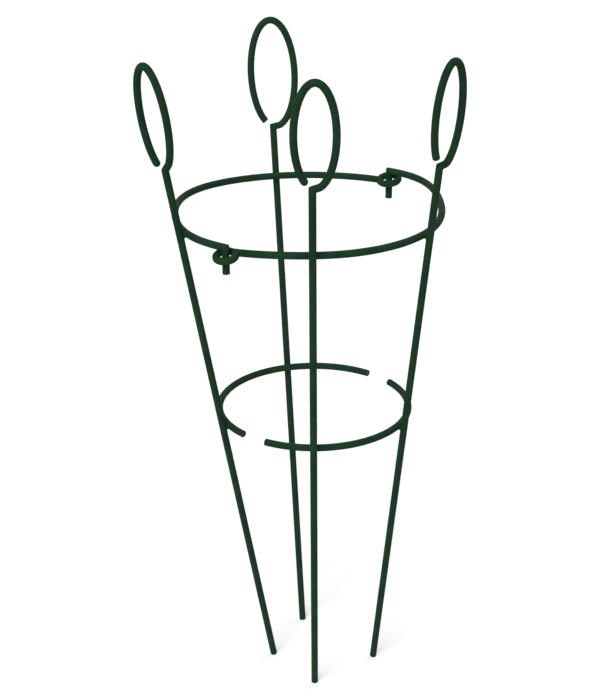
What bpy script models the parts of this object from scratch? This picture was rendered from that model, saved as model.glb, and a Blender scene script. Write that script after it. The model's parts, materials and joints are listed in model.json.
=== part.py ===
"""Two-part wire plant support: a cone of green coated wire that hooks together round a plant.

Two half frames stand face to face. Each half frame has two legs that flare outward, and a lower
and an upper half ring welded to the inner side of the legs. Its upper half ring ends in an eye and
in a hook that is bent down, and each hook drops through the eye of the other half frame. One hook
is lifted out of its eye to open the support and to close it again round a growing plant. Every leg
ends in an open hand loop. +Z is up, -Y is the front, and the feet stand at z = 0.

Lengths are in millimetres. Angles are in degrees, and an azimuth runs from +X towards +Y.
"""
import math

import bmesh
import bpy
from mathutils import Matrix, Vector

MM = 0.001

# The coated wire, and the clearances between wires that touch
WIRE_D = 6.3
CUT_CHAMFER = 0.25
WELD_GAP = 0.3
EYE_END_GAP = 0.3

# Heights above the feet
LOWER_RING_Z = 269.7
EYE_Z = 454.6

# Lower ring: two half rings with plain cut ends
LOWER_RING_R = 87.0
LOWER_A_FROM = 53.1
LOWER_A_TO = 224.1
LOWER_B_FROM = 240.8
LOWER_B_TO = 394.6

# Bends of the upper half rings: where an eye meets its ring, and where a hook turns down
NECK_BEND_R = 4.5
HOOK_INSIDE_R = 0.3

# Upper half rings. The ring's line runs past the middle of its own eye at the distance neck, and the
# eye is a closed circle that leaves eye_play round the other ring's pin. Its inner side is raised by
# eye_lean. The hook lies on the other eye with the gap seat, and ends in a pin that points down.
# Radius and height change evenly from the eye to the hook. To that, bows adds waves in the radius
# and dips adds waves in the height: a half wave, two half waves and so on, nothing at both ends.
RING_A = {"eye_az": 55.2, "eye_radius": 123.5, "eye_play": 2.5, "eye_lean": -12.0, "neck": 3.0,
          "seat": 0.5, "pin": 22.0, "bows": (-6.0, -1.7, -1.7, -0.2, 0.9, -0.6),
          "dips": (0.5, -0.5, -0.2)}
RING_B = {"eye_az": 236.35, "eye_radius": 128.7, "eye_play": 1.4, "eye_lean": 10.0, "neck": 7.3,
          "seat": 2.0, "pin": 26.0, "bows": (-10.8, 1.1, -2.1, -0.9, 0.5, -0.7),
          "dips": (1.4, -1.5, 1.1)}

# Bends at the foot of a hand loop
CORNER_INSIDE_R = 0.3
ENTRY_BEND_R = 5.0

# Legs. lower_az and upper_az are where a leg crosses the two rings, and corner_z is the height of
# the sharp bend under its hand loop. The loop is an ellipse in the plane of the leg, square to the
# azimuth loop_face. loop_side and loop_base place it from the corner, across and along the leg,
# loop_tilt turns it in its plane, loop_entry is how far the wire leans from the leg where it joins
# the ellipse, and mouth is the gap that stays open between its cut end and the corner.
LEG_LEFT = {"lower_az": 209.37, "upper_az": 213.45, "corner_z": 520.6, "loop_face": 233.2,
            "loop_half_width": 13.8, "loop_half_height": 44.9, "loop_side": -0.1, "loop_base": -1.6,
            "loop_tilt": -2.1, "loop_entry": 28.0, "mouth": 1.9}
LEG_BACK = {"lower_az": 106.08, "upper_az": 107.06, "corner_z": 499.9, "loop_face": 283.4,
            "loop_half_width": 20.6, "loop_half_height": 48.7, "loop_side": 2.7, "loop_base": 0.3,
            "loop_tilt": 0.0, "loop_entry": 69.0, "mouth": 4.7}
LEG_FRONT = {"lower_az": 269.81, "upper_az": 269.5, "corner_z": 517.7, "loop_face": 269.5,
             "loop_half_width": 16.6, "loop_half_height": 43.8, "loop_side": 2.2, "loop_base": 0.9,
             "loop_tilt": -0.2, "loop_entry": 61.0, "mouth": 4.0}
LEG_RIGHT = {"lower_az": 329.46, "upper_az": 323.01, "corner_z": 522.7, "loop_face": 309.1,
             "loop_half_width": 13.9, "loop_half_height": 44.7, "loop_side": 2.3, "loop_base": -1.4,
             "loop_tilt": 1.4, "loop_entry": 51.0, "mouth": 2.9}

# Weld beads: small spindles in the pockets above and below the ring wire, at each crossing
BEAD_R = 1.25
BEAD_HALF_LENGTH = 2.7

# Facets
WIRE_ROUNDNESS = 3
RING_STEPS = 44
EYE_STEPS = 22
NECK_STEP = 24.0
BEND_STEPS = 5
LOOP_STEPS = 44
BEAD_SIDES = 8
BEAD_RINGS = 5

# Shown size of the empty that carries a half frame
BODY_MARK = 20.0

GREEN_COAT = (0.0144, 0.0437, 0.0212, 1.0)
GREEN_BEAD = (0.0130, 0.0400, 0.0195, 1.0)

# What follows from the wire
WIRE_R = WIRE_D / 2.0
CROSSING = WIRE_D + WELD_GAP
HOOK_BEND_R = WIRE_R + HOOK_INSIDE_R
CORNER_BEND_R = WIRE_R + CORNER_INSIDE_R
Z_AXIS = Vector((0.0, 0.0, 1.0))


def outward(azimuth):
    """Unit vector that points away from the middle of the support."""
    return Vector((math.cos(math.radians(azimuth)), math.sin(math.radians(azimuth)), 0.0))


def onward(azimuth):
    """Unit vector square to outward, the way in which azimuths grow."""
    return Vector((-math.sin(math.radians(azimuth)), math.cos(math.radians(azimuth)), 0.0))


def square_to(vector, axis):
    """The part of a vector that is square to an axis, as a unit vector."""
    return (vector - axis * vector.dot(axis)).normalized()


def frame_turn(x_axis, y_axis, z_axis):
    """Rotation that turns an object's own axes into these three."""
    return Matrix((x_axis, y_axis, z_axis)).transposed().to_euler()


def round_corner(before, corner, after, radius, room):
    """Points of an arc that replaces a sharp corner, and uses no more than the room beside it."""
    way_in = (corner - before).normalized()
    way_out = (after - corner).normalized()
    half_turn = way_in.angle(way_out) / 2.0
    reach = min(radius * math.tan(half_turn), room)
    arc_r = reach / math.tan(half_turn)
    side = square_to(way_out, way_in)
    centre = corner - way_in * reach + side * arc_r
    turns = [2.0 * half_turn * i / BEND_STEPS for i in range(BEND_STEPS + 1)]
    return [centre - side * arc_r * math.cos(t) + way_in * arc_r * math.sin(t) for t in turns]


class LowerRing:
    """Centre line of a lower half ring, a plain arc."""

    def __init__(self, start, end):
        self.start = start
        self.span = end - start

    def point(self, s):
        return outward(self.start + self.span * s) * LOWER_RING_R + Z_AXIS * LOWER_RING_Z

    def path(self):
        return [self.point(i / RING_STEPS) for i in range(RING_STEPS + 1)]


class UpperRing:
    """Centre line of an upper half ring, from its eye at s = 0 round to its hook at s = 1."""

    def __init__(self, ring, other):
        self.ring = ring
        self.eye_r = WIRE_D + ring["eye_play"]
        self.end_radius = other["eye_radius"]
        self.end_z = EYE_Z + WIRE_D + ring["seat"]
        reach = (other["eye_az"] - ring["eye_az"]) % 360.0
        inner = ring["eye_radius"] - ring["neck"]
        rise = self.end_radius - inner + sum(math.pi * n * bow for n, bow in enumerate(ring["bows"], 1))
        slope = math.atan(rise / (inner * math.radians(reach)))
        lean = math.radians(ring["eye_lean"])
        out = outward(ring["eye_az"])
        on = onward(ring["eye_az"])
        self.along = on * math.cos(slope) + out * math.sin(slope)
        level_in = on * math.sin(slope) - out * math.cos(slope)
        self.inward = level_in * math.cos(lean) + Z_AXIS * math.sin(lean)
        self.eye = out * ring["eye_radius"] + Z_AXIS * EYE_Z
        self.neck_turn = -math.degrees(math.acos(ring["neck"] / self.eye_r))
        self.first = self.eye_point(self.neck_turn)
        self.start_radius = math.hypot(self.first.x, self.first.y)
        lag = math.degrees(math.atan2(self.first.dot(on), self.first.dot(out)))
        self.start = ring["eye_az"] + lag
        self.span = reach - lag

    def point(self, s):
        radius = self.start_radius + (self.end_radius - self.start_radius) * s
        radius += sum(bow * math.sin(math.pi * n * s) for n, bow in enumerate(self.ring["bows"], 1))
        height = self.first.z + (self.end_z - self.first.z) * s
        height += sum(dip * math.sin(math.pi * n * s) for n, dip in enumerate(self.ring["dips"], 1))
        return outward(self.start + self.span * s) * radius + Z_AXIS * height

    def eye_point(self, turn):
        """Point of the eye's circle, at a turn from its inner side away from the ring."""
        angle = math.radians(turn)
        return self.eye + (self.inward * math.cos(angle) - self.along * math.sin(angle)) * self.eye_r

    def eye_path(self):
        """The closed eye, from its cut end against the ring wire round to the neck."""
        end_set = self.ring["neck"] - WIRE_R - EYE_END_GAP
        end = 360.0 - math.degrees(math.acos(end_set / (self.eye_r + WIRE_R)))
        start = self.neck_turn + NECK_STEP
        eye = [self.eye_point(end + (start - end) * i / EYE_STEPS) for i in range(EYE_STEPS + 1)]
        after = self.point(0.5 / RING_STEPS)
        return eye + round_corner(eye[-1], self.first, after, NECK_BEND_R, (self.first - eye[-1]).length)

    def path(self):
        top = self.point(1.0)
        tip = top - Z_AXIS * self.ring["pin"]
        arc = [self.point(i / RING_STEPS) for i in range(1, RING_STEPS)]
        arc = [p for p in arc if (p - top).length > HOOK_BEND_R]
        bend = round_corner(arc[-1], top, tip, HOOK_BEND_R, self.ring["pin"])
        return self.eye_path() + arc + bend + [tip]


def crossing_at(ring, azimuth):
    """Point and direction of a ring's centre line where it passes an azimuth."""
    s = ((azimuth - ring.start) % 360.0) / ring.span
    step = 0.0005
    return ring.point(s), (ring.point(s + step) - ring.point(s - step)).normalized()


def outer_side(point, along, up):
    """Unit vector from a ring wire to the leg that lies against its outer side."""
    side = along.cross(up).normalized()
    return side if side.x * point.x + side.y * point.y > 0.0 else -side


class Leg:
    """A straight leg against the outer side of its two rings, and the hand loop on top of it."""

    def __init__(self, leg, lower, upper):
        self.leg = leg
        low, low_along = crossing_at(lower, leg["lower_az"])
        high, high_along = crossing_at(upper, leg["upper_az"])
        self.up = (high - low).normalized()
        for _ in range(6):
            low_out = outer_side(low, low_along, self.up)
            high_out = outer_side(high, high_along, self.up)
            on_axis = low + low_out * CROSSING
            self.up = (high + high_out * CROSSING - on_axis).normalized()
        self.crossings = {"lower": (low, low_along, low_out), "upper": (high, high_along, high_out)}
        foot_z = (WIRE_R - CUT_CHAMFER) * math.sqrt(1.0 - self.up.z ** 2)
        self.foot = on_axis - self.up * ((on_axis.z - foot_z) / self.up.z)
        self.length = (leg["corner_z"] - foot_z) / self.up.z
        self.across = square_to(onward(leg["loop_face"]), self.up)

    def loop_point(self, normal):
        """Point of the loop's ellipse where its outward normal has this angle, in the leg's own frame."""
        half_w = self.leg["loop_half_width"]
        half_h = self.leg["loop_half_height"]
        tilt = math.radians(self.leg["loop_tilt"])
        c = math.cos(math.radians(normal))
        s = math.sin(math.radians(normal))
        size = math.hypot(half_w * c, half_h * s)
        x = half_w * half_w * c / size
        z = half_h * half_h * s / size
        side = self.leg["loop_side"] + x * math.cos(tilt) - z * math.sin(tilt)
        rise = self.leg["loop_base"] + half_h + x * math.sin(tilt) + z * math.cos(tilt)
        return Vector((side, 0.0, self.length + rise))

    def loop_end(self, base):
        """Angle at which the loop stops, with its mouth open to the wire at its base."""
        clear = WIRE_D + self.leg["mouth"]
        angle = 180.0
        while min((self.loop_point(angle) - p).length for p in base) > clear:
            angle += 0.25
        return angle

    def path(self):
        """Foot, leg, sharp corner, entry bend and open loop, in the leg's own XZ plane."""
        corner = Vector((0.0, 0.0, self.length))
        entry = -self.leg["loop_entry"]
        first = self.loop_point(entry)
        second = self.loop_point(entry + 1.0)
        sharp = round_corner(Vector(), corner, first, CORNER_BEND_R, (first - corner).length / 2.0)
        room = (first - sharp[-1]).length / 2.0
        soft = round_corner(corner, first, second, ENTRY_BEND_R, room)
        end = self.loop_end(sharp + soft)
        loop = [self.loop_point(entry + (end - entry) * i / LOOP_STEPS) for i in range(LOOP_STEPS + 1)]
        loop = [p for p in loop if (p - first).length > (soft[-1] - first).length]
        return [Vector()] + sharp + soft + loop


def coat_material(name, colour, roughness):
    material = bpy.data.materials.new(name)
    material.use_nodes = True
    shader = material.node_tree.nodes["Principled BSDF"]
    shader.inputs["Base Color"].default_value = colour
    shader.inputs["Roughness"].default_value = roughness
    shader.inputs["Metallic"].default_value = 0.0
    material.diffuse_color = colour
    return material


def add_body(group, name, location, turn):
    """An empty that carries one half frame."""
    empty = bpy.data.objects.new(name, None)
    empty.location = location * MM
    empty.rotation_euler = (0.0, 0.0, turn)
    empty.empty_display_size = BODY_MARK * MM
    group.objects.link(empty)
    return empty


def add_object(group, name, data, body, location, turn):
    """Place an object where the support has it, and let its body carry it."""
    obj = bpy.data.objects.new(name, data)
    obj.location = location * MM
    obj.rotation_euler = turn
    obj.parent = body
    body_place = Matrix.Translation(body.location) @ body.rotation_euler.to_matrix().to_4x4()
    obj.matrix_parent_inverse = body_place.inverted()
    group.objects.link(obj)
    return obj


def add_wire(group, name, points, body, location=Vector(), turn=(0.0, 0.0, 0.0)):
    """A round coated wire along a centre line, with a small chamfer at both cut ends."""
    start_in = points[0] + (points[1] - points[0]).normalized() * CUT_CHAMFER
    end_in = points[-1] + (points[-2] - points[-1]).normalized() * CUT_CHAMFER
    knots = [points[0], start_in] + points[1:-1] + [end_in, points[-1]]
    curve = bpy.data.curves.new(name, "CURVE")
    curve.dimensions = "3D"
    curve.bevel_depth = WIRE_R * MM
    curve.bevel_resolution = WIRE_ROUNDNESS
    curve.use_fill_caps = True
    spline = curve.splines.new("POLY")
    spline.points.add(len(knots) - 1)
    for knot, place in zip(spline.points, knots):
        knot.co = (place * MM).to_4d()
    for end in (spline.points[0], spline.points[-1]):
        end.radius = 1.0 - CUT_CHAMFER / WIRE_R
    curve.materials.append(coat_material(name + "_coat", GREEN_COAT, 0.45))
    return add_object(group, name, curve, body, location, turn)


def add_bead(group, name, body, place, along, out):
    """One weld bead, a spindle along the ring wire."""
    mesh = bpy.data.meshes.new(name)
    shape = bmesh.new()
    stretch = Matrix.Diagonal((1.0, 1.0, BEAD_HALF_LENGTH / BEAD_R, 1.0))
    bmesh.ops.create_uvsphere(shape, u_segments=BEAD_SIDES, v_segments=BEAD_RINGS,
                              radius=BEAD_R * MM, matrix=stretch)
    shape.to_mesh(mesh)
    shape.free()
    mesh.shade_smooth()
    mesh.materials.append(coat_material(name + "_coat", GREEN_BEAD, 0.5))
    turn = frame_turn(out, along.cross(out), along)
    return add_object(group, name, mesh, body, place, turn)


def add_weld(group, leg_name, ring_name, crossing, up, body):
    """Two beads at one crossing, each touching the ring wire and the leg."""
    point, along, out = crossing
    reach = WIRE_R + BEAD_R + WELD_GAP
    from_ring = CROSSING - reach
    along_leg = math.sqrt(reach ** 2 - from_ring ** 2)
    for side, sign in (("top", 1.0), ("under", -1.0)):
        place = point + out * from_ring + square_to(up, out) * along_leg * sign
        name = "weld_" + leg_name + "_" + ring_name + "_" + side
        add_bead(group, name, body, place, square_to(along, out), out)


def add_half(group, mark, upper, lower, legs, body):
    """One half frame: its two half rings, and its legs with their welds."""
    add_wire(group, "upper_half_ring_" + mark, upper.path(), body)
    add_wire(group, "lower_half_ring_" + mark, lower.path(), body)
    for name, sizes in legs:
        leg = Leg(sizes, lower, upper)
        turn = frame_turn(leg.across, leg.up.cross(leg.across), leg.up)
        add_wire(group, "leg_" + name, leg.path(), body, leg.foot, turn)
        for ring_name, crossing in leg.crossings.items():
            add_weld(group, name, ring_name, crossing, leg.up, body)


def centre_on_origin(group, bodies):
    """Move both half frames so that the middle of the whole support is at x = y = 0."""
    bpy.context.view_layer.update()
    depsgraph = bpy.context.evaluated_depsgraph_get()
    places = []
    for obj in group.objects:
        if obj.type != "EMPTY":
            shown = obj.evaluated_get(depsgraph)
            places += [shown.matrix_world @ v.co for v in shown.to_mesh().vertices]
            shown.to_mesh_clear()
    for axis in (0, 1):
        values = [p[axis] for p in places]
        for body in bodies:
            body.location[axis] -= (min(values) + max(values)) / 2.0
    bpy.context.view_layer.update()


def build():
    for obj in list(bpy.data.objects):
        bpy.data.objects.remove(obj, do_unlink=True)
    group = bpy.data.collections.new("plant_support")
    bpy.context.scene.collection.children.link(group)
    upper_a = UpperRing(RING_A, RING_B)
    upper_b = UpperRing(RING_B, RING_A)
    lower_a = LowerRing(LOWER_A_FROM, LOWER_A_TO)
    lower_b = LowerRing(LOWER_B_FROM, LOWER_B_TO)
    # Half b tips up about the front eye, on the level axis square to the line between the eyes
    chord = upper_a.eye - upper_b.eye
    axis_turn = math.atan2(-chord.x, chord.y)
    half_a = add_body(group, "half_a", Vector(), 0.0)
    half_b = add_body(group, "half_b", upper_b.eye, axis_turn)
    add_half(group, "a", upper_a, lower_a, (("left", LEG_LEFT), ("back", LEG_BACK)), half_a)
    add_half(group, "b", upper_b, lower_b, (("front", LEG_FRONT), ("right", LEG_RIGHT)), half_b)
    centre_on_origin(group, (half_a, half_b))


build()
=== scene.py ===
"""Looks of a two-part wire plant support: coated wires, coated welds and a plain studio.

The support is a cone of dark green coated wire in two half frames. Each half frame has two legs with
open hand loops, and a lower and an upper half ring. An upper half ring ends in an eye and in a hook
that drops through the eye of the other half. Half a holds the left and the back leg, half b the front
and the right one. +Z is up, -Y is the front, lengths are in metres and angles in radians.
"""

import json
import math

import bpy
import numpy as np
from bpy.props import FloatProperty, FloatVectorProperty, IntProperty, PointerProperty
from mathutils import Matrix, Vector


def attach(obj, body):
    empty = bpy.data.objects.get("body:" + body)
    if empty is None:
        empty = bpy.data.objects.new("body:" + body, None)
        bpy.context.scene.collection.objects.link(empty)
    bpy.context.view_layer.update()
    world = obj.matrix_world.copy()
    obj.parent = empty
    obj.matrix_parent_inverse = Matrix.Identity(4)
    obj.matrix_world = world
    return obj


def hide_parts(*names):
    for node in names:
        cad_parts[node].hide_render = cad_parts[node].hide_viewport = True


bl_info = {
    "name": "Wire Plant Support",
    "version": (1, 0, 0),
    "blender": (4, 5, 0),
    "location": "3D Viewport > Sidebar > Plant Support",
    "description": "Coated wires, welds and studio of a hooked two-part plant support",
    "category": "Object",
}

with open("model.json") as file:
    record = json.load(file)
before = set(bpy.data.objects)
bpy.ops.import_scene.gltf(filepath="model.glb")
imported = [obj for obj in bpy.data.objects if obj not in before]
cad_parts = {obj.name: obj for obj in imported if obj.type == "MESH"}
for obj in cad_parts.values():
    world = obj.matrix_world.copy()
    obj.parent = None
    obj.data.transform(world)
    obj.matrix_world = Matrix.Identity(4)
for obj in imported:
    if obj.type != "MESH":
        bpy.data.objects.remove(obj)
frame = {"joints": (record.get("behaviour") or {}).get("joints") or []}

MM = 0.001
DEG = math.pi / 180.0
UP = np.array((0.0, 0.0, 1.0))
HALVES = ("a", "b")
LEG_NAMES = ("left", "back", "front", "right")
LEG_HALVES = (0, 0, 1, 1)

# Points along the centre lines, and the least distance between two of them.
BEND_POINTS = 61
EYE_POINTS = 240
UPPER_RING_POINTS = 721
LOWER_RING_POINTS = 361
LOOP_POINTS = 481
SAME_PLACE = 1e-4 * MM

# The turn by which an eye stops short of its neck, and the shares of the ring at which the neck aims
# and the ring's own curve takes over.
NECK_STEP = 24.0 * DEG
NECK_AIM = 0.01
RING_START = 0.02

# Share of a ring over which its direction is taken, to both sides. A leg's direction and its places
# against the two rings depend on each other, so they are found in rounds.
CROSSING_STEP = 0.0005
LEG_ROUNDS = 6

# Angles at which a loop's cut end is looked for: from, to and step, in degrees.
LOOP_END_SEARCH = (180.0, 330.0, 0.25)

# Cut core from its middle outwards: shares of its radius and of its depth behind the coat.
CORE_STEPS = ((0.5, 1.0), (0.92, 1.0), (0.97, 0.5), (1.0, 0.0))
CORE_ROWS = len(CORE_STEPS) - 1
CORE_MATERIAL = 1
END_ROUND_POINTS = 6

# Waves of the coat's unevenness: length over two pi, turns round the wire, phase and weight.
COAT_WAVES = ((6.1 * MM, 2.0, 0.0, 1.0), (2.3 * MM, -1.0, 1.3, 0.6), (13.7 * MM, 3.0, 0.7, 0.8))

# Side from which a leg's sections are turned, in the leg's own frame, and the most that a ring wire
# rises before it counts as a pin. A section within this many radii of a bend's middle is in the bend.
LEG_SIDE = np.array((0.0, 1.0, 0.0))
LEVEL_RISE = 0.3
BEND_MARGIN = 1.05
SHARP_EDGE = 50.0 * DEG

# Weld necks: how sharply the reach along a wire gives way to the climb round it, the waves round a
# neck (count, phase and weight), and the shares of its width that close it inside a wire.
REACH_POWER = 6
WELD_LUMPS = ((3.0, 0.4, 1.0), (5.0, 2.0, 0.7))
ROOT_SHARES = (0.5, 0.93)

# Patterns of coat and core: waves per metre, depths, and how they are drawn out along wire or cut.
NOISE_MIDDLE = (0.3, 0.7)
CLOUD_DETAIL = 3.0
FINE_DETAIL = 2.0
CLOUD_SCALE = 55.0
CLOUD_STOPS = (0.34, 0.5, 0.68)
SHINE_SCALE = 160.0
SHINE_RANGE = 0.08
PEEL_SCALE = 900.0
PEEL_DEPTH = 0.06 * MM
LINE_SCALE = 1800.0
LINE_DEPTH = 0.03 * MM
LINE_STRETCH = (1.0, 0.03, 1.0)
COAT_RELIEF = 0.35
STAIN_SCALE = 700.0
STAIN_GAIN = 1.9
SHEAR_SCALE = 4000.0
SHEAR_DEPTH = 0.05 * MM
SHEAR_STRETCH = (1.0, 0.12, 0.12)
SHEAR_RELIEF = 0.6
CORE_METAL = 0.6
CORE_ROUGHNESS = 0.55

COLOUR = {"subtype": "COLOR", "size": 4, "min": 0.0, "max": 1.0}
WHITE = (1.0, 1.0, 1.0, 1.0)
FLOOR_GREY = (0.8, 0.8, 0.8, 1.0)
FRONT_LIGHT_FROM = (-0.35, -0.8, 0.75)
BACK_LIGHT_FROM = (0.5, 0.7, 0.8)
SENSOR_WIDTH = 36.0
FRAME_HEIGHT = 700.0


class WireSizes(bpy.types.PropertyGroup):
    """The coated wire, its cut ends and the clearances between wires that touch."""

    diameter: FloatProperty(
        name="Wire diameter", description="Across the coat", default=6.3 * MM, unit="LENGTH")
    coat: FloatProperty(
        name="Coat", description="Thickness of the coat over the steel", default=0.65 * MM, unit="LENGTH")
    end_round: FloatProperty(
        name="End rounding", description="Radius of the coat's edge at a cut end",
        default=0.25 * MM, unit="LENGTH")
    core_recess: FloatProperty(
        name="Core recess", description="How far the cut steel lies behind the coat's edge",
        default=0.1 * MM, min=0.0, unit="LENGTH")
    corner_soften: FloatProperty(
        name="Corner softening", description="Half the turn over which a sharp bend's edge is rounded",
        default=4.0 * DEG, unit="ROTATION")
    weld_gap: FloatProperty(
        name="Weld gap", description="Between a ring wire and the leg welded to it",
        default=0.3 * MM, unit="LENGTH")
    ripple: FloatProperty(
        name="Ripple", description="Unevenness of the coat", default=0.03 * MM, unit="LENGTH")
    sides: IntProperty(name="Sides", description="Faces round a wire", default=32, min=8)
    longest_step: FloatProperty(
        name="Longest step", description="Between two sections along a straight wire",
        default=3.0 * MM, unit="LENGTH")
    sharpest_turn: FloatProperty(
        name="Sharpest turn", description="Between two sections along a bent wire",
        default=1.5 * DEG, unit="ROTATION")


class RingSizes(bpy.types.PropertyGroup):
    """Lower and upper half rings. Pairs of values are for half a and half b."""

    lower_height: FloatProperty(
        name="Lower ring height", description="Above the feet", default=269.7 * MM, unit="LENGTH")
    lower_radius: FloatProperty(
        name="Lower ring radius", description="On the centre line", default=87.0 * MM, unit="LENGTH")
    lower_from: FloatVectorProperty(
        name="Lower rings from", description="Azimuth of a lower half ring's first cut end",
        size=2, default=(53.1 * DEG, 240.8 * DEG), unit="ROTATION")
    lower_to: FloatVectorProperty(
        name="Lower rings to", description="Azimuth of a lower half ring's second cut end",
        size=2, default=(224.1 * DEG, 394.6 * DEG), unit="ROTATION")
    eye_height: FloatProperty(
        name="Eye height", description="Above the feet", default=454.6 * MM, unit="LENGTH")
    eye_azimuth: FloatVectorProperty(
        name="Eye azimuths", description="Where the eyes lie", size=2,
        default=(55.2 * DEG, 236.35 * DEG), unit="ROTATION")
    eye_radius: FloatVectorProperty(
        name="Eye radii", description="From the middle of the support to an eye's middle", size=2,
        default=(123.5 * MM, 128.7 * MM), unit="LENGTH")
    eye_play: FloatVectorProperty(
        name="Eye play", description="Left open in an eye, all round the pin", size=2,
        default=(2.5 * MM, 1.7 * MM), unit="LENGTH")
    eye_lean: FloatVectorProperty(
        name="Eye leans", description="How far an eye's inner side is raised", size=2,
        default=(-12.0 * DEG, 13.0 * DEG), unit="ROTATION")
    eye_end_gap: FloatProperty(
        name="Eye end gap", description="Between an eye's cut end and its ring wire",
        default=0.3 * MM, unit="LENGTH")
    neck: FloatVectorProperty(
        name="Necks", description="From an eye's middle to the line of its ring", size=2,
        default=(3.0 * MM, 7.3 * MM), unit="LENGTH")
    neck_bend: FloatProperty(
        name="Neck bend radius", description="Where an eye meets its ring", default=4.5 * MM,
        unit="LENGTH")
    seat: FloatVectorProperty(
        name="Seats", description="Gap between a hook and the other ring's eye", size=2,
        default=(1.0 * MM, 2.0 * MM), unit="LENGTH")
    hook_inside: FloatProperty(
        name="Hook inside radius", description="On the inner side of a hook's bend",
        default=0.3 * MM, unit="LENGTH")
    pin_length: FloatVectorProperty(
        name="Pin lengths", description="From a hook's corner to its tip", size=2,
        default=(22.5 * MM, 26.0 * MM), unit="LENGTH")
    bows_a: FloatVectorProperty(
        name="Bows a", description="Waves in the radius of upper half ring a, one to six", size=6,
        default=(-6.0 * MM, -1.7 * MM, -1.7 * MM, -0.2 * MM, 0.9 * MM, -0.6 * MM), unit="LENGTH")
    bows_b: FloatVectorProperty(
        name="Bows b", description="Waves in the radius of upper half ring b, one to six", size=6,
        default=(-10.8 * MM, 1.1 * MM, -2.1 * MM, -0.9 * MM, 0.5 * MM, -0.7 * MM), unit="LENGTH")
    dips_a: FloatVectorProperty(
        name="Dips a", description="Waves in the height of upper half ring a, one to three",
        size=3, default=(0.2 * MM, -0.3 * MM, -0.3 * MM), unit="LENGTH")
    dips_b: FloatVectorProperty(
        name="Dips b", description="Waves in the height of upper half ring b, one to three",
        size=3, default=(1.2 * MM, -1.6 * MM, 1.0 * MM), unit="LENGTH")


class LegSizes(bpy.types.PropertyGroup):
    """Legs and hand loops. Each row of values is for the left, back, front and right leg."""

    lower_azimuth: FloatVectorProperty(
        name="Lower azimuths", description="Where a leg crosses the lower ring", size=4,
        default=(209.37 * DEG, 106.08 * DEG, 269.81 * DEG, 329.46 * DEG), unit="ROTATION")
    upper_azimuth: FloatVectorProperty(
        name="Upper azimuths", description="Where a leg crosses the upper ring", size=4,
        default=(213.45 * DEG, 107.06 * DEG, 269.5 * DEG, 323.01 * DEG), unit="ROTATION")
    corner_height: FloatVectorProperty(
        name="Corner heights", description="Height of the sharp bend under the hand loop", size=4,
        default=(518.9 * MM, 499.9 * MM, 517.7 * MM, 521.6 * MM), unit="LENGTH")
    corner_inside: FloatProperty(
        name="Corner inside radius", description="On the inner side of the sharp bend",
        default=0.3 * MM, unit="LENGTH")
    entry_bend: FloatProperty(
        name="Entry bend radius", description="Where the wire swings into the loop",
        default=5.0 * MM, unit="LENGTH")
    loop_face: FloatVectorProperty(
        name="Loop azimuths", description="The way a loop faces", size=4,
        default=(233.2 * DEG, 283.4 * DEG, 269.5 * DEG, 309.1 * DEG), unit="ROTATION")
    loop_half_width: FloatVectorProperty(
        name="Loop half widths", description="Half the loop's width on the centre line", size=4,
        default=(13.8 * MM, 20.6 * MM, 16.6 * MM, 13.9 * MM), unit="LENGTH")
    loop_half_height: FloatVectorProperty(
        name="Loop half heights", description="Half the loop's height on the centre line", size=4,
        default=(44.9 * MM, 48.7 * MM, 43.8 * MM, 44.7 * MM), unit="LENGTH")
    loop_side: FloatVectorProperty(
        name="Loop sideways", description="Loop's middle from the leg, across the leg", size=4,
        default=(-0.1 * MM, 2.7 * MM, 2.2 * MM, 2.3 * MM), unit="LENGTH")
    loop_base: FloatVectorProperty(
        name="Loop bases", description="Loop's lowest point from the corner, along the leg", size=4,
        default=(0.1 * MM, 0.3 * MM, 0.9 * MM, -0.3 * MM), unit="LENGTH")
    loop_tilt: FloatVectorProperty(
        name="Loop tilts", description="Turn of a loop in its own plane", size=4,
        default=(-2.1 * DEG, 0.0, -0.2 * DEG, 1.4 * DEG), unit="ROTATION")
    loop_entry: FloatVectorProperty(
        name="Loop entries", description="Lean of the wire where it joins the loop", size=4,
        default=(28.0 * DEG, 69.0 * DEG, 61.0 * DEG, 51.0 * DEG), unit="ROTATION")
    mouth: FloatVectorProperty(
        name="Loop mouths", description="Gap between a loop's cut end and the corner", size=4,
        default=(3.2 * MM, 3.8 * MM, 3.4 * MM, 4.2 * MM), unit="LENGTH")


class WeldSizes(bpy.types.PropertyGroup):
    """Coat and weld metal in the neck between two crossing wires."""

    wrap: FloatProperty(
        name="Wrap", description="How far the neck climbs round each wire", default=64.0 * DEG,
        unit="ROTATION")
    reach: FloatProperty(
        name="Reach", description="How far the neck runs along each wire", default=4.1 * MM,
        unit="LENGTH")
    film: FloatProperty(
        name="Film", description="Coat that stands over the wire where the neck runs out",
        default=0.03 * MM, unit="LENGTH")
    root: FloatProperty(
        name="Root", description="How deep the neck starts inside each wire", default=0.6 * MM,
        unit="LENGTH")
    fullness: FloatProperty(
        name="Fullness", description="Length of the neck's end tangents, as a share of its height",
        default=0.85)
    ripple: FloatProperty(
        name="Ripple", description="Unevenness of the neck", default=0.12 * MM, unit="LENGTH")
    turns: IntProperty(name="Turns", description="Faces round a neck", default=96, min=12)
    rows: IntProperty(name="Rows", description="Rows of faces along a neck", default=18, min=6)


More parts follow.
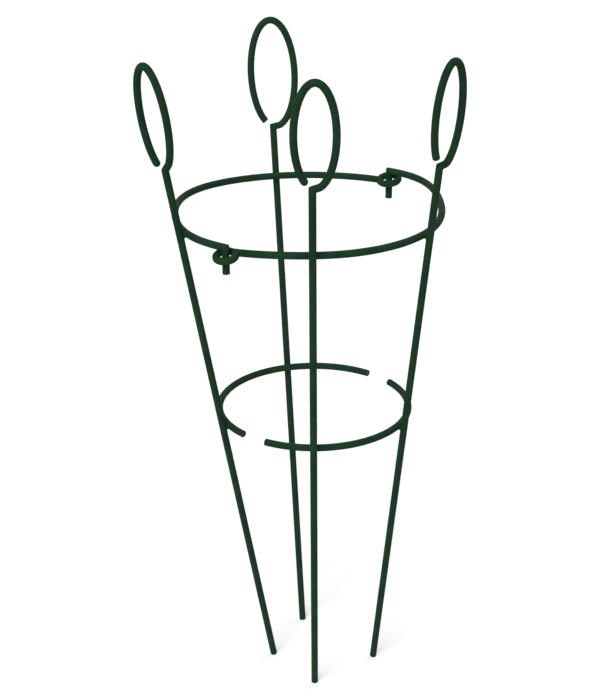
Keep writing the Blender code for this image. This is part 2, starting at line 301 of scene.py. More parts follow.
class CoatLooks(bpy.types.PropertyGroup):
    """Colours and finish of the coat, the welds and the cut steel."""

    green: FloatVectorProperty(
        name="Green", description="The coat's main colour",
        default=(0.0110, 0.0404, 0.0184, 1.0), **COLOUR)
    deep_green: FloatVectorProperty(
        name="Deep green", description="Where the coat is thick",
        default=(0.0092, 0.0350, 0.0160, 1.0), **COLOUR)
    fresh_green: FloatVectorProperty(
        name="Fresh green", description="Where the coat is thin",
        default=(0.0126, 0.0470, 0.0190, 1.0), **COLOUR)
    core: FloatVectorProperty(
        name="Core", description="Cut steel under a dark film",
        default=(0.0095, 0.0165, 0.0130, 1.0), **COLOUR)
    roughness: FloatProperty(
        name="Roughness", description="Middle roughness of the satin coat", default=0.66,
        min=0.0, max=1.0)
    specular: FloatProperty(
        name="Specular level", description="Strength of the coat's gloss", default=0.05,
        min=0.0, max=1.0)


class StudioSizes(bpy.types.PropertyGroup):
    """Camera, lamps, floor and background."""

    camera_place: FloatVectorProperty(
        name="Camera place", description="From the middle of the rings", subtype="TRANSLATION", size=3,
        default=(0.0, -1.2504, 0.8722), unit="LENGTH")
    camera_pitch: FloatProperty(
        name="Camera pitch", description="Below the horizon", default=23.645 * DEG, unit="ROTATION")
    camera_yaw: FloatProperty(
        name="Camera yaw", description="To the right of +Y", default=-0.579 * DEG, unit="ROTATION")
    camera_roll: FloatProperty(
        name="Camera roll", description="About the viewing direction", default=-0.284 * DEG,
        unit="ROTATION")
    focal_length: FloatProperty(
        name="Focal length", description="In pixels of the 600 x 700 frame", default=1500.0)
    key_strength: FloatProperty(
        name="Key light", description="Strength of the large front light", default=2.2)
    fill_strength: FloatProperty(
        name="Fill light", description="Strength of the light from behind", default=0.55)
    ambient: FloatProperty(
        name="Ambient", description="Brightness of the room around", default=0.28)
    light_angle: FloatProperty(
        name="Softness", description="Apparent size of each light", default=40.0 * DEG, unit="ROTATION")
    floor_size: FloatProperty(
        name="Floor size", description="Width of the square floor", default=6.0, unit="LENGTH")
    floor_lift: FloatProperty(
        name="Floor white", description="Brightness that lifts the lit floor to white", default=0.38)


def unit(vectors):
    """Vectors divided by their own lengths."""
    return vectors / np.linalg.norm(vectors, axis=-1, keepdims=True)


def square_to(vectors, axis):
    """The part of each vector that is square to an axis, as a unit vector."""
    return unit(vectors - axis * np.sum(vectors * axis, axis=-1, keepdims=True))


def outward(azimuth):
    """Level unit vector away from the middle of the support: (cos, sin, 0) of the azimuth."""
    azimuth = np.asarray(azimuth, dtype=float)
    return np.stack((np.cos(azimuth), np.sin(azimuth), np.zeros_like(azimuth)), axis=-1)


def onward(azimuth):
    """Level unit vector square to outward: (-sin, cos, 0) of the azimuth."""
    return outward(np.asarray(azimuth) + math.pi / 2.0)


def joined(*parts):
    """One path from several arrays of points, without repeated points."""
    path = np.concatenate([np.atleast_2d(part) for part in parts])
    moved = np.linalg.norm(np.diff(path, axis=0), axis=1) > SAME_PLACE
    return path[np.concatenate(([True], moved))]


class Bend:
    """Arc in place of a sharp corner: centre - side * radius * cos t + way in * radius * sin t.

    It starts and ends at most room away from the corner, and its radius shrinks where it has to.
    """

    def __init__(self, before, corner, after, radius, room):
        way_in = unit(corner - before)
        way_out = unit(after - corner)
        self.half_turn = math.acos(way_in @ way_out) / 2.0
        reach = min(radius * math.tan(self.half_turn), room)
        self.radius = reach / math.tan(self.half_turn)
        side = square_to(way_out, way_in)
        self.corner = corner
        self.centre = corner - way_in * reach + side * self.radius
        t = np.linspace(0.0, 2.0 * self.half_turn, BEND_POINTS)[:, None]
        self.points = self.centre + (way_in * np.sin(t) - side * np.cos(t)) * self.radius
        self.axis = np.cross(way_in, side)


class LowerRing:
    """Centre line of a lower half ring: a level arc at one height and radius."""

    def __init__(self, rings, half):
        self.rings = rings
        self.start = rings.lower_from[half]
        self.span = rings.lower_to[half] - self.start

    def point(self, s):
        """Points at the shares s of the arc."""
        azimuth = self.start + self.span * np.asarray(s)
        return outward(azimuth) * self.rings.lower_radius + UP * self.rings.lower_height

    def path(self):
        """The whole arc."""
        return self.point(np.linspace(0.0, 1.0, LOWER_RING_POINTS))


class UpperRing:
    """Centre line of an upper half ring, from its eye at s = 0 round to its hook at s = 1.

    Azimuth, radius and height change evenly along s. To the radius, the bows add the sum of
    bow * sin(pi n s), and the dips do the same to the height, with n = 1 for the first one.
    """

    def __init__(self, wire, rings, half):
        other = 1 - half
        self.wire = wire
        self.rings = rings
        self.bows = (rings.bows_a, rings.bows_b)[half]
        self.dips = (rings.dips_a, rings.dips_b)[half]
        self.neck = rings.neck[half]
        self.pin_length = rings.pin_length[half]
        self.eye_bend = wire.diameter + rings.eye_play[half]
        self.end_radius = rings.eye_radius[other]
        self.end_height = rings.eye_height + wire.diameter + rings.seat[half]
        azimuth = rings.eye_azimuth[half]
        reach = (rings.eye_azimuth[other] - azimuth) % (2.0 * math.pi)
        inner = rings.eye_radius[half] - self.neck
        rise = self.end_radius - inner + sum(math.pi * n * bow for n, bow in enumerate(self.bows, 1))
        slope = math.atan(rise / (inner * reach))
        lean = rings.eye_lean[half]
        out = outward(azimuth)
        on = onward(azimuth)
        self.along = on * math.cos(slope) + out * math.sin(slope)
        level_in = on * math.sin(slope) - out * math.cos(slope)
        self.inward = level_in * math.cos(lean) + UP * math.sin(lean)
        self.eye = out * rings.eye_radius[half] + UP * rings.eye_height
        self.neck_turn = -math.acos(self.neck / self.eye_bend)
        self.first = self.eye_point(self.neck_turn)
        self.start_radius = math.hypot(self.first[0], self.first[1])
        lag = math.atan2(self.first @ on, self.first @ out)
        self.start = azimuth + lag
        self.span = reach - lag

    def point(self, s):
        """Points at the shares s of the ring's azimuth."""
        s = np.asarray(s, dtype=float)
        radius = self.start_radius + (self.end_radius - self.start_radius) * s
        height = self.first[2] + (self.end_height - self.first[2]) * s
        for n, bow in enumerate(self.bows, 1):
            radius = radius + bow * np.sin(math.pi * n * s)
        for n, dip in enumerate(self.dips, 1):
            height = height + dip * np.sin(math.pi * n * s)
        return outward(self.start + self.span * s) * radius[..., None] + UP * height[..., None]

    def eye_point(self, turn):
        """Points of the eye's circle: eye + radius * (inward * cos turn - along * sin turn)."""
        turn = np.asarray(turn, dtype=float)[..., None]
        return self.eye + (self.inward * np.cos(turn) - self.along * np.sin(turn)) * self.eye_bend

    def path(self):
        """Centre line of eye, neck, ring, hook bend and pin, with the hook's bend.

        The eye's circle starts where it comes as near to the ring's line as the end gap lets it.
        """
        half_wire = self.wire.diameter / 2.0
        end_set = self.neck - half_wire - self.rings.eye_end_gap
        end = 2.0 * math.pi - math.acos(end_set / (self.eye_bend + half_wire))
        eye = self.eye_point(np.linspace(end, self.neck_turn + NECK_STEP, EYE_POINTS))
        room = np.linalg.norm(self.first - eye[-1])
        neck = Bend(eye[-1], self.first, self.point(NECK_AIM), self.rings.neck_bend, room)
        top = self.point(1.0)
        tip = top - UP * self.pin_length
        hook_bend = half_wire + self.rings.hook_inside
        arc = self.point(np.linspace(RING_START, 1.0, UPPER_RING_POINTS)[:-1])
        arc = arc[np.linalg.norm(arc - top, axis=1) > hook_bend]
        hook = Bend(arc[-1], top, tip, hook_bend, self.pin_length)
        return joined(eye, neck.points, arc, hook.points, tip), hook


def crossing_at(ring, azimuth):
    """Point and direction of a ring's centre line where it passes an azimuth."""
    s = ((azimuth - ring.start) % (2.0 * math.pi)) / ring.span
    return ring.point(s), unit(ring.point(s + CROSSING_STEP) - ring.point(s - CROSSING_STEP))


def outer_side(point, along, up):
    """Unit vector from a ring wire to the leg that lies against its outer side."""
    side = unit(np.cross(along, up))
    return side * math.copysign(1.0, side[:2] @ point[:2])


class Leg:
    """A straight leg against the outer side of its two rings, and the hand loop on top of it."""

    def __init__(self, wire, legs, index, lower, upper):
        self.wire = wire
        self.legs = legs
        self.index = index
        crossing = wire.diameter + wire.weld_gap
        low, low_along = crossing_at(lower, legs.lower_azimuth[index])
        high, high_along = crossing_at(upper, legs.upper_azimuth[index])
        self.up = unit(high - low)
        for _ in range(LEG_ROUNDS):
            low_out = outer_side(low, low_along, self.up)
            high_out = outer_side(high, high_along, self.up)
            on_axis = low + low_out * crossing
            self.up = unit(high + high_out * crossing - on_axis)
        self.crossings = {"lower": (low, low_along, low_out), "upper": (high, high_along, high_out)}
        rim = wire.diameter / 2.0 - wire.end_round
        foot_height = rim * math.sqrt(1.0 - self.up[2] ** 2)
        self.foot = on_axis - self.up * ((on_axis[2] - foot_height) / self.up[2])
        self.length = (legs.corner_height[index] - foot_height) / self.up[2]
        self.across = square_to(onward(legs.loop_face[index]), self.up)

    def loop_point(self, normal):
        """Points of the loop's ellipse where its outward normal has these angles, in the leg's plane.

        With half axes w and h, the point is (w w cos, h h sin) over the length of (w cos, h sin),
        turned by the tilt and moved to the loop's middle.
        """
        half_w = self.legs.loop_half_width[self.index]
        half_h = self.legs.loop_half_height[self.index]
        tilt = self.legs.loop_tilt[self.index]
        middle = self.length + self.legs.loop_base[self.index] + half_h
        c = np.cos(normal)
        s = np.sin(normal)
        size = np.hypot(half_w * c, half_h * s)
        x = half_w * half_w * c / size
        z = half_h * half_h * s / size
        side = self.legs.loop_side[self.index] + x * math.cos(tilt) - z * math.sin(tilt)
        rise = middle + x * math.sin(tilt) + z * math.cos(tilt)
        return np.stack((side, np.zeros_like(side), rise), axis=-1)

    def loop_end(self, base):
        """Normal's angle at which the loop stops, with its mouth open to the wire at its base."""
        clear = self.wire.diameter + self.legs.mouth[self.index]
        normals = np.arange(*LOOP_END_SEARCH) * DEG
        gaps = np.linalg.norm(self.loop_point(normals)[:, None] - base[None], axis=2).min(axis=1)
        return normals[np.argmax(gaps <= clear)]

    def path(self):
        """Centre line of leg, corner, entry bend and open loop, with the corner's bend.

        It lies in the leg's own XZ plane, where the foot is zero and +Z runs up the leg.
        """
        corner = UP * self.length
        entry = -self.legs.loop_entry[self.index]
        first = self.loop_point(entry)
        second = self.loop_point(entry + DEG)
        corner_bend = self.wire.diameter / 2.0 + self.legs.corner_inside
        sharp = Bend(np.zeros(3), corner, first, corner_bend, np.linalg.norm(first - corner) / 2.0)
        room = np.linalg.norm(first - sharp.points[-1]) / 2.0
        soft = Bend(corner, first, second, self.legs.entry_bend, room)
        end = self.loop_end(np.concatenate((sharp.points, soft.points)))
        loop = self.loop_point(np.linspace(entry, end, LOOP_POINTS))
        far = np.linalg.norm(loop - first, axis=1) > np.linalg.norm(soft.points[-1] - first)
        return joined(np.zeros(3), sharp.points, soft.points, loop[far]), sharp

    def to_world(self, grid):
        """Points of the leg's own frame, moved to their place in the support."""
        axes = np.stack((self.across, np.cross(self.up, self.across), self.up))
        return self.foot + grid @ axes


class Stations:
    """Places, directions and distances along a wire, closer together where it bends.

    Each stretch of the path takes an effort: its length over the longest step, plus its turn over the
    sharpest turn. The stations lie at equal efforts. They leave room for the rounding of the cut ends.
    """

    def __init__(self, path, wire):
        path = path.copy()
        path[0] += unit(path[1] - path[0]) * wire.end_round
        path[-1] += unit(path[-2] - path[-1]) * wire.end_round
        runs = np.diff(path, axis=0)
        lengths = np.linalg.norm(runs, axis=1)
        ways = runs / lengths[:, None]
        turns = np.arccos(np.clip(np.sum(ways[1:] * ways[:-1], axis=1), -1.0, 1.0))
        turns = np.concatenate(([0.0], turns, [0.0]))
        efforts = lengths / wire.longest_step + (turns[1:] + turns[:-1]) / (2.0 * wire.sharpest_turn)
        effort = np.concatenate(([0.0], np.cumsum(efforts)))
        distance = np.concatenate(([0.0], np.cumsum(lengths)))
        way = unit(np.concatenate((ways[:1], ways[1:] + ways[:-1], ways[-1:])))
        goals = np.linspace(0.0, effort[-1], int(effort[-1]) + 2)
        self.place = np.stack([np.interp(goals, effort, path[:, i]) for i in range(3)], axis=-1)
        self.way = unit(np.stack([np.interp(goals, effort, way[:, i]) for i in range(3)], axis=-1))
        self.distance = np.interp(goals, effort, distance)


def end_profile(wire):
    """A cut end from its middle to the full wire, as distances behind the cut and radii.

    First come the steps of the sunk steel core, then a flat ring of coat, and the coat's quarter round
    edge: inset = round * (1 - cos t), radius = wire radius - round + round * sin t.
    """
    radius = wire.diameter / 2.0
    share, depth = np.array(CORE_STEPS).T
    t = np.linspace(0.0, math.pi / 2.0, END_ROUND_POINTS, endpoint=False)
    inset = np.concatenate((wire.core_recess * depth, wire.end_round * (1.0 - np.cos(t))))
    radii = np.concatenate(((radius - wire.coat) * share, radius + wire.end_round * (np.sin(t) - 1.0)))
    return inset, radii


def coat_ripple(distance, around):
    """Slow unevenness of a coat, from -1 to 1: the mean of waves that wind round the wire.

    A wave is sin(distance / length + turns * around + phase), and counts by its weight.
    """
    waves = sum(weight * np.sin(distance / length + turns * around + phase)
                for length, turns, phase, weight in COAT_WAVES)
    return waves / sum(wave[-1] for wave in COAT_WAVES)


def wire_grid(stations, side, wire):
    """Points of a wire's surface, one row for each section from cut end to cut end.

    A point is place + radius * (side * cos t + across * sin t), where across = direction x side and
    the radius carries the coat's ripple, which fades out over one diameter at the cut ends. The cut
    ends add the rows of their profile. The rows' distances along the wire come with the points.
    """
    inset, radii = end_profile(wire)
    count = len(stations.place)
    stand = (wire.end_round - inset)[:, None]
    head = stations.place[0] - stations.way[0] * stand
    tail = stations.place[-1] + stations.way[-1] * stand[::-1]
    place = np.concatenate((head, stations.place, tail))
    index = np.pad(np.arange(count), len(inset), mode="edge")
    way = stations.way[index]
    normal = square_to(np.broadcast_to(side, stations.place.shape)[index], way)
    binormal = np.cross(way, normal)
    radius = np.concatenate((radii, np.full(count, wire.diameter / 2.0), radii[::-1]))
    distance = stations.distance[index]
    around = np.linspace(0.0, 2.0 * math.pi, wire.sides, endpoint=False)
    fade = np.minimum(1.0, np.minimum(distance, distance[-1] - distance) / wire.diameter)
    ripple = wire.ripple * coat_ripple(distance[:, None], around) * fade[:, None]
    reach = (radius[:, None] + ripple)[..., None]
    turn = around[None, :, None]
    ring = normal[:, None] * np.cos(turn) + binormal[:, None] * np.sin(turn)
    return place[:, None] + ring * reach, distance


def square_corner(grid, bend, soften):
    """Draw the surface of a round bend out to a nearly square corner.

    A fibre at distance d from the bend's axis moves out to d / cos(half turn - t), where t is the
    angle from the bend's middle. The root of t squared plus softening squared stands for t, and
    rounds the edge.
    """
    from_centre = grid - bend.centre
    aside = (from_centre @ bend.axis)[..., None] * bend.axis
    middle = from_centre.mean(axis=1)
    middle_way = unit(bend.corner - bend.centre)
    distance = np.linalg.norm(middle, axis=1)
    t = np.arccos(np.clip(middle @ middle_way / distance, -1.0, 1.0))
    lead = np.clip(bend.half_turn - np.hypot(t, soften), 0.0, None)
    lead[distance > bend.radius * BEND_MARGIN] = 0.0
    grow = 1.0 / np.cos(lead)[:, None, None]
    return bend.centre + (from_centre - aside) * grow + aside


def grid_mesh(name, grid, distance, around_length, core_rows=0):
    """A closed mesh from rows of points, with a pole in the middle of each end row.

    Its UV map is in metres: U runs round the rows and V along them. With core rows, that many rows of
    faces at both ends, and the faces at the poles, have the second material.
    """
    rows, sides = grid.shape[:2]
    poles = grid[[0, -1]].mean(axis=1)
    points = np.concatenate((grid.reshape(-1, 3), poles))
    row = np.arange(rows - 1)[:, None]
    col = np.arange(sides)[None]
    after = (col + 1) % sides
    quads = np.stack((row * sides + col, row * sides + after, (row + 1) * sides + after,
                      (row + 1) * sides + col), axis=-1).reshape(-1, 4)
    head = np.stack((np.full(sides, rows * sides), after[0], col[0]), axis=-1)
    last = (rows - 1) * sides
    tail = np.stack((np.full(sides, rows * sides + 1), last + col[0], last + after[0]), axis=-1)
    mesh = bpy.data.meshes.new(name)
    loops = np.concatenate((quads.ravel(), head.ravel(), tail.ravel()))
    sizes = np.concatenate((np.full(len(quads), 4), np.full(2 * sides, 3)))
    mesh.vertices.add(len(points))
    mesh.vertices.foreach_set("co", points.ravel())
    mesh.loops.add(len(loops))
    mesh.loops.foreach_set("vertex_index", loops)
    mesh.polygons.add(len(sizes))
    mesh.polygons.foreach_set("loop_start", np.concatenate(([0], np.cumsum(sizes)[:-1])))
    mesh.update(calc_edges=True)
    u = (col + np.zeros_like(row)) * around_length / sides
    u_next = u + around_length / sides
    v = distance[:-1, None] + np.zeros(sides)
    v_next = distance[1:, None] + np.zeros(sides)
    quad_uv = np.stack((u, v, u_next, v, u_next, v_next, u, v_next), axis=-1).ravel()
    cap_u = np.stack((col[0], col[0] + 1, col[0])) * around_length / sides
    cap_uv = [np.stack((cap_u, np.full(cap_u.shape, at)), axis=-1).transpose(1, 0, 2).ravel()
              for at in (distance[0], distance[-1])]
    mesh.uv_layers.new(name="wire").data.foreach_set("uv", np.concatenate([quad_uv] + cap_uv))
    if core_rows:
        material = np.zeros(rows - 1, int)
        material[:core_rows] = CORE_MATERIAL
        material[-core_rows:] = CORE_MATERIAL
        faces = np.concatenate((np.repeat(material, sides), np.full(2 * sides, CORE_MATERIAL)))
        mesh.polygons.foreach_set("material_index", faces)
    mesh.shade_smooth()
    mesh.set_sharp_from_angle(angle=SHARP_EDGE)
    if mesh.validate():
        raise RuntimeError("the mesh of " + name + " isn't sound")
    return mesh


def add_piece(name, mesh, half, replaced, materials):
    """Put a finished mesh into the scene, on the half frame that carries it."""
    for material in materials:
        mesh.materials.append(material)
    piece = bpy.data.objects.new(name, mesh)
    bpy.context.scene.collection.objects.link(piece)
    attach(piece, "half_" + HALVES[half])
    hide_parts(*replaced)


def rings_middle(rings):
    """Middle of the rings on the floor. The frame's joint lies at the eye of half b."""
    hinge = np.array(frame["joints"][0]["pos_m"])
    middle = hinge - outward(rings.eye_azimuth[1]) * rings.eye_radius[1]
    return middle * (1.0, 1.0, 0.0)


def add_wire(node, grid, distance, half, scene):
    """One coated wire in place of its node. Its points are given from the middle of the rings."""
    looks = scene.support_coat
    name = "coated_" + node
    grid = grid + rings_middle(scene.support_rings)
    mesh = grid_mesh(name, grid, distance, math.pi * scene.support_wire.diameter, CORE_ROWS)
    add_piece(name, mesh, half, (node,), (coat_material(looks), core_material(looks)))


def support_legs(scene):
    """The four legs, from the values of the scene."""
    wire, rings, legs = scene.support_wire, scene.support_rings, scene.support_legs
    lowers = [LowerRing(rings, half) for half in range(2)]
    uppers = [UpperRing(wire, rings, half) for half in range(2)]
    return [Leg(wire, legs, i, lowers[LEG_HALVES[i]], uppers[LEG_HALVES[i]]) for i in range(4)]


def ring_sides(way):
    """Level vectors square to a ring wire. Down a hook, the last level one is kept."""
    sides = np.cross(way, UP)
    last = np.flatnonzero(np.abs(way[:, 2]) < LEVEL_RISE)[-1]
    sides[last:] = sides[last]
    return sides


def weld_grid(along, up, out, wire, weld):
    """Surface of a weld's neck, row by row from inside the ring wire to inside the leg.

    A profile is carried round the line that joins both wires. At the angle t, each wire's section is
    an ellipse with half axes radius / |sine| and radius, where sine is that of the angle between the
    profile's way and the wire. The profile leaves the ring wire's ellipse along its tangent and meets
    the leg's along its tangent, as a cubic curve, and lumps widen or narrow it in the middle.
    """
    radius = wire.diameter / 2.0
    t = np.linspace(0.0, 2.0 * math.pi, weld.turns, endpoint=False)
    across = np.cross(out, along)
    way = along * np.cos(t)[:, None] + across * np.sin(t)[:, None]
    sine = [np.abs(np.sin(t)), np.linalg.norm(np.cross(way, up), axis=1)]
    climb = radius * math.sin(weld.wrap)
    reach = [(weld.reach ** -REACH_POWER + (s / climb) ** REACH_POWER) ** (-1.0 / REACH_POWER)
             for s in sine]
    fall = [np.sqrt(radius ** 2 - (x * s) ** 2) for x, s in zip(reach, sine)]
    slope = [x * s * s / f for x, s, f in zip(reach, sine, fall)]
    middle = radius + wire.weld_gap / 2.0
    start = np.stack((reach[0], fall[0] - middle + weld.film), axis=-1)
    end = np.stack((reach[1], middle - fall[1] - weld.film), axis=-1)
    pull = np.linalg.norm(end - start, axis=1, keepdims=True) * weld.fullness * 2.0
    leave = unit(np.stack((-np.ones_like(t), slope[0]), axis=-1)) * pull
    arrive = unit(np.stack((np.ones_like(t), slope[1]), axis=-1)) * pull
    s = np.linspace(0.0, 1.0, weld.rows)[:, None, None]
    curve = (start * (2 * s ** 3 - 3 * s ** 2 + 1) + leave * (s ** 3 - 2 * s ** 2 + s)
             + end * (3 * s ** 2 - 2 * s ** 3) + arrive * (s ** 3 - s ** 2))
    lumps = sum(weight * np.sin(count * t + phase) for count, phase, weight in WELD_LUMPS)
    curve[..., 0] += weld.ripple * np.sin(math.pi * s[..., 0]) * lumps
    sunk = np.array(ROOT_SHARES)[:, None, None]
    head = start * sunk
    tail = end * sunk[::-1]
    head[..., 1] = start[:, 1] - weld.root
    tail[..., 1] = end[:, 1] + weld.root
    profile = np.concatenate((head, curve, tail))
    return way[None] * profile[..., :1] + out * profile[..., 1:]


def add_weld(scene, leg, ring_name):
    """The coated neck of one weld, in place of its two beads."""
    wire, weld = scene.support_wire, scene.support_weld
    point, along, out = leg.crossings[ring_name]
    leg_name = LEG_NAMES[leg.index]
    up = square_to(leg.up, out)
    grid = weld_grid(square_to(along, out), up, out, wire, weld)
    grid = grid + point + out * (wire.diameter + wire.weld_gap) / 2.0 + rings_middle(scene.support_rings)
    name = "weld_" + leg_name + "_" + ring_name
    steps = np.linalg.norm(np.diff(grid[:, 0], axis=0), axis=1)
    distance = np.concatenate(([0.0], np.cumsum(steps)))
    mesh = grid_mesh(name, grid, distance, math.pi * wire.diameter)
    add_piece(name + "_neck", mesh, LEG_HALVES[leg.index], (name + "_top", name + "_under"),
              (coat_material(scene.support_coat),))


def add_node(tree, kind, **settings):
    """A new shader node with some of its settings."""
    node = tree.nodes.new(kind)
    for key, value in settings.items():
        setattr(node, key, value)
    return node


def fill(node, values):
    """The node, with values in the sockets that are given by name or number."""
    for socket, value in values.items():
        node.inputs[socket].default_value = value
    return node


def new_material(name):
    """An empty node material with its Principled shader and its node tree."""
    material = bpy.data.materials.new(name)
    material.use_nodes = True
    return material, material.node_tree, material.node_tree.nodes["Principled BSDF"]


def noise(tree, vector, scale, detail):
    """Noise on a vector, in waves per metre."""
    node = fill(add_node(tree, "ShaderNodeTexNoise"), {"Scale": scale, "Detail": detail})
    tree.links.new(vector, node.inputs["Vector"])
    return node.outputs["Fac"]


def remap(tree, value, low, high):
    """The middle range of a noise, stretched to run from low to high."""
    ends = {"From Min": NOISE_MIDDLE[0], "From Max": NOISE_MIDDLE[1], "To Min": low, "To Max": high}
    node = fill(add_node(tree, "ShaderNodeMapRange"), ends)
    tree.links.new(value, node.inputs["Value"])
    return node.outputs["Result"]


def bump(tree, height, distance, strength, before=None):
    """Bump of a real height in metres, over another bump if there is one."""
    node = fill(add_node(tree, "ShaderNodeBump"), {"Strength": strength, "Distance": distance})
    tree.links.new(height, node.inputs["Height"])
    if before is not None:
        tree.links.new(before, node.inputs["Normal"])
    return node.outputs["Normal"]


def coat_material(looks):
    """Satin dark green coat: cloudy greens, fine peel, and faint lines drawn along the wire."""
    ready = bpy.data.materials.get("green_coat")
    if ready:
        return ready
    material, tree, shader = new_material("green_coat")
    place = add_node(tree, "ShaderNodeTexCoord").outputs["Object"]
    ramp = add_node(tree, "ShaderNodeValToRGB")
    stops = ramp.color_ramp.elements
    stops.new(CLOUD_STOPS[1])
    for stop, at, colour in zip(stops, CLOUD_STOPS, (looks.deep_green, looks.green, looks.fresh_green)):
        stop.position = at
        stop.color = colour
    tree.links.new(noise(tree, place, CLOUD_SCALE, CLOUD_DETAIL), ramp.inputs["Fac"])
    tree.links.new(ramp.outputs["Color"], shader.inputs["Base Color"])
    drawn = fill(add_node(tree, "ShaderNodeMapping"), {"Scale": LINE_STRETCH})
    wire_uv = add_node(tree, "ShaderNodeUVMap", uv_map="wire")
    tree.links.new(wire_uv.outputs["UV"], drawn.inputs["Vector"])
    shine = noise(tree, place, SHINE_SCALE, CLOUD_DETAIL)
    rough = remap(tree, shine, looks.roughness - SHINE_RANGE, looks.roughness + SHINE_RANGE)
    tree.links.new(rough, shader.inputs["Roughness"])
    peel = bump(tree, noise(tree, place, PEEL_SCALE, FINE_DETAIL), PEEL_DEPTH, COAT_RELIEF)
    lines = noise(tree, drawn.outputs["Vector"], LINE_SCALE, FINE_DETAIL)
    relief = bump(tree, lines, LINE_DEPTH, COAT_RELIEF, peel)
    tree.links.new(relief, shader.inputs["Normal"])
    fill(shader, {"Specular IOR Level": looks.specular, "Metallic": 0.0})
    return material


def core_material(looks):
    """Cut steel core under a dark film, with the marks of the shears."""
    ready = bpy.data.materials.get("cut_core")
    if ready:
        return ready
    material, tree, shader = new_material("cut_core")
    place = add_node(tree, "ShaderNodeTexCoord").outputs["Object"]
    stain = noise(tree, place, STAIN_SCALE, CLOUD_DETAIL)
    bright = [channel * STAIN_GAIN for channel in looks.core[:3]] + [1.0]
    mix = fill(add_node(tree, "ShaderNodeMix", data_type="RGBA"), {"A": looks.core, "B": bright})
    tree.links.new(stain, mix.inputs["Factor"])
    tree.links.new(mix.outputs["Result"], shader.inputs["Base Color"])
    drag = fill(add_node(tree, "ShaderNodeMapping"), {"Scale": SHEAR_STRETCH})
    tree.links.new(place, drag.inputs["Vector"])
    marks = noise(tree, drag.outputs["Vector"], SHEAR_SCALE, FINE_DETAIL)
    tree.links.new(bump(tree, marks, SHEAR_DEPTH, SHEAR_RELIEF), shader.inputs["Normal"])
    fill(shader, {"Metallic": CORE_METAL, "Roughness": CORE_ROUGHNESS})
    return material


def seen_directly(tree):
    """One for camera, glossy and transmission rays, and zero for the light that falls on surfaces."""
    path = add_node(tree, "ShaderNodeLightPath")
    value = path.outputs["Is Camera Ray"]
    for other in ("Is Glossy Ray", "Is Transmission Ray"):
        node = add_node(tree, "ShaderNodeMath", operation="MAXIMUM")
        tree.links.new(value, node.inputs[0])
        tree.links.new(path.outputs[other], node.inputs[1])
        value = node.outputs[0]
    return value


def add_floor(studio):
    """A plain pale floor that keeps the support's faint shadow."""
    half = studio.floor_size / 2.0
    u, v = np.meshgrid((-half, half), (-half, half), indexing="ij")
    corners = np.stack((u, v, np.zeros_like(u)), axis=-1).reshape(-1, 3)
    mesh = bpy.data.meshes.new("floor")
    mesh.from_pydata(corners.tolist(), [], [(0, 2, 3, 1)])
    floor = bpy.data.objects.new("floor", mesh)
    bpy.context.scene.collection.objects.link(floor)
    material, tree, shader = new_material("pale_floor")
    fill(shader, {"Base Color": FLOOR_GREY, "Roughness": 1.0, "Specular IOR Level": 0.0})
    lift = add_node(tree, "ShaderNodeEmission")
    strength = fill(add_node(tree, "ShaderNodeMath", operation="MULTIPLY"), {1: studio.floor_lift})
    tree.links.new(seen_directly(tree), strength.inputs[0])
    tree.links.new(strength.outputs[0], lift.inputs["Strength"])
    both = add_node(tree, "ShaderNodeAddShader")
    tree.links.new(shader.outputs["BSDF"], both.inputs[0])
    tree.links.new(lift.outputs["Emission"], both.inputs[1])
    tree.links.new(both.outputs["Shader"], tree.nodes["Material Output"].inputs["Surface"])
    mesh.materials.append(material)


def add_world(studio):
    """An even room, seen as white."""
    world = bpy.data.worlds.new("studio")
    world.use_nodes = True
    bpy.context.scene.world = world
    tree = world.node_tree
    mix = add_node(tree, "ShaderNodeMixShader")
    tree.links.new(seen_directly(tree), mix.inputs["Fac"])
    room = tree.nodes["Background"]
    white = add_node(tree, "ShaderNodeBackground")
    for socket, node, strength in ((1, room, studio.ambient), (2, white, 1.0)):
        fill(node, {"Color": WHITE, "Strength": strength})
        tree.links.new(node.outputs["Background"], mix.inputs[socket])
    tree.links.new(mix.outputs["Shader"], tree.nodes["World Output"].inputs["Surface"])


def add_lamp(name, come_from, strength, softness):
    """A distant soft light that comes from a direction."""
    lamp = bpy.data.lights.new(name, "SUN")
    lamp.energy = strength
    lamp.angle = softness
    obj = bpy.data.objects.new(name, lamp)
    obj.rotation_euler = Vector(come_from).to_track_quat("Z", "Y").to_euler()
    bpy.context.scene.collection.objects.link(obj)


def add_camera(studio, rings):
    """The camera at the photograph's place. Its axes are turned by yaw, then pitch, then roll."""
    yaw, pitch, roll = studio.camera_yaw, studio.camera_pitch, studio.camera_roll
    forward = Vector((math.sin(yaw) * math.cos(pitch), math.cos(yaw) * math.cos(pitch), -math.sin(pitch)))
    level = Vector((math.cos(yaw), -math.sin(yaw), 0.0))
    upright = level.cross(forward)
    right = level * math.cos(roll) + upright * math.sin(roll)
    top = upright * math.cos(roll) - level * math.sin(roll)
    camera = bpy.data.cameras.new("camera")
    camera.sensor_width = SENSOR_WIDTH
    camera.lens = SENSOR_WIDTH * studio.focal_length / FRAME_HEIGHT
    obj = bpy.data.objects.new("camera", camera)
    turn = Matrix((right, top, -forward)).transposed().to_4x4()
    place = Vector(rings_middle(rings)) + Vector(studio.camera_place)
    obj.matrix_world = Matrix.Translation(place) @ turn
    bpy.context.scene.collection.objects.link(obj)
    bpy.context.scene.camera = obj


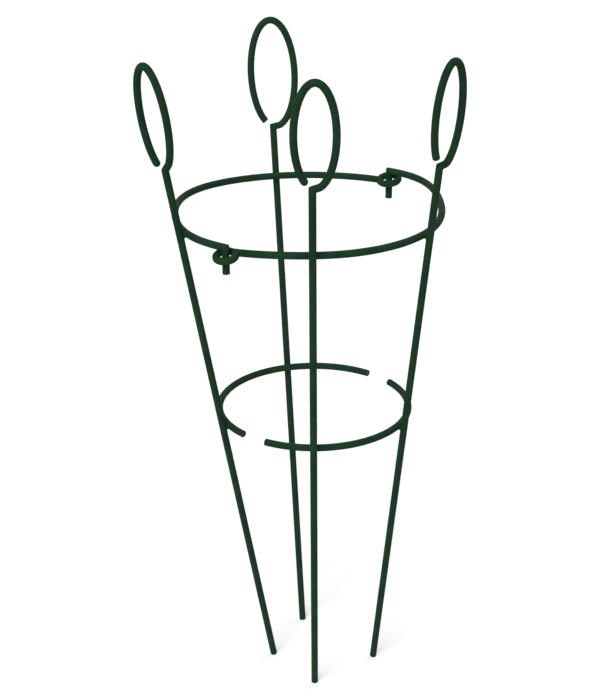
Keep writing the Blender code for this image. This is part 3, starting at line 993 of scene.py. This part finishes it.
class SUPPORT_OT_legs(bpy.types.Operator):
    """Add the four legs with their open hand loops"""

    bl_idname = "support.legs"
    bl_label = "Legs"

    def execute(self, context):
        scene = context.scene
        wire = scene.support_wire
        for leg in support_legs(scene):
            path, corner = leg.path()
            grid, distance = wire_grid(Stations(path, wire), LEG_SIDE, wire)
            grid = leg.to_world(square_corner(grid, corner, wire.corner_soften))
            add_wire("leg_" + LEG_NAMES[leg.index], grid, distance, LEG_HALVES[leg.index], scene)
        return {"FINISHED"}


class SUPPORT_OT_upper_rings(bpy.types.Operator):
    """Add the two upper half rings with their eyes and hooks"""

    bl_idname = "support.upper_rings"
    bl_label = "Upper half rings"

    def execute(self, context):
        scene = context.scene
        wire = scene.support_wire
        for half, mark in enumerate(HALVES):
            path, corner = UpperRing(wire, scene.support_rings, half).path()
            stations = Stations(path, wire)
            grid, distance = wire_grid(stations, ring_sides(stations.way), wire)
            grid = square_corner(grid, corner, wire.corner_soften)
            add_wire("upper_half_ring_" + mark, grid, distance, half, scene)
        return {"FINISHED"}


class SUPPORT_OT_lower_rings(bpy.types.Operator):
    """Add the two lower half rings"""

    bl_idname = "support.lower_rings"
    bl_label = "Lower half rings"

    def execute(self, context):
        scene = context.scene
        wire = scene.support_wire
        for half, mark in enumerate(HALVES):
            stations = Stations(LowerRing(scene.support_rings, half).path(), wire)
            grid, distance = wire_grid(stations, ring_sides(stations.way), wire)
            add_wire("lower_half_ring_" + mark, grid, distance, half, scene)
        return {"FINISHED"}


class SUPPORT_OT_welds(bpy.types.Operator):
    """Add the coated necks of the eight welds between legs and rings"""

    bl_idname = "support.welds"
    bl_label = "Welds"

    def execute(self, context):
        for leg in support_legs(context.scene):
            for ring_name in leg.crossings:
                add_weld(context.scene, leg, ring_name)
        return {"FINISHED"}


class SUPPORT_OT_studio(bpy.types.Operator):
    """Add the camera, the soft lights, the pale floor and the white room"""

    bl_idname = "support.studio"
    bl_label = "Studio"

    def execute(self, context):
        studio = context.scene.support_studio
        add_camera(studio, context.scene.support_rings)
        add_floor(studio)
        add_world(studio)
        add_lamp("front_light", FRONT_LIGHT_FROM, studio.key_strength, studio.light_angle)
        add_lamp("back_light", BACK_LIGHT_FROM, studio.fill_strength, studio.light_angle)
        context.scene.view_settings.view_transform = "Standard"
        return {"FINISHED"}


class SUPPORT_PT_panel(bpy.types.Panel):
    """The support's sizes and the steps that build its looks"""

    bl_idname = "SUPPORT_PT_panel"
    bl_label = "Wire Plant Support"
    bl_space_type = "VIEW_3D"
    bl_region_type = "UI"
    bl_category = "Plant Support"

    def draw(self, context):
        for operator in OPERATORS:
            self.layout.operator(operator.bl_idname)
        for name in GROUPS:
            group = getattr(context.scene, name)
            box = self.layout.box()
            for key in group.__annotations__:
                box.prop(group, key)


OPERATORS = (SUPPORT_OT_legs, SUPPORT_OT_upper_rings, SUPPORT_OT_lower_rings, SUPPORT_OT_welds,
             SUPPORT_OT_studio)
GROUPS = {
    "support_wire": WireSizes,
    "support_rings": RingSizes,
    "support_legs": LegSizes,
    "support_weld": WeldSizes,
    "support_coat": CoatLooks,
    "support_studio": StudioSizes,
}


def register():
    for group in GROUPS.values():
        bpy.utils.register_class(group)
    for name, group in GROUPS.items():
        setattr(bpy.types.Scene, name, PointerProperty(type=group))
    for operator in OPERATORS:
        bpy.utils.register_class(operator)
    bpy.utils.register_class(SUPPORT_PT_panel)


def unregister():
    bpy.utils.unregister_class(SUPPORT_PT_panel)
    for operator in reversed(OPERATORS):
        bpy.utils.unregister_class(operator)
    for name in GROUPS:
        delattr(bpy.types.Scene, name)
    for group in GROUPS.values():
        bpy.utils.unregister_class(group)


def main():
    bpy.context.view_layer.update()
    register()
    bpy.ops.support.legs()
    bpy.ops.support.upper_rings()
    bpy.ops.support.lower_rings()
    bpy.ops.support.welds()
    bpy.ops.support.studio()


if __name__ == "__main__":
    main()
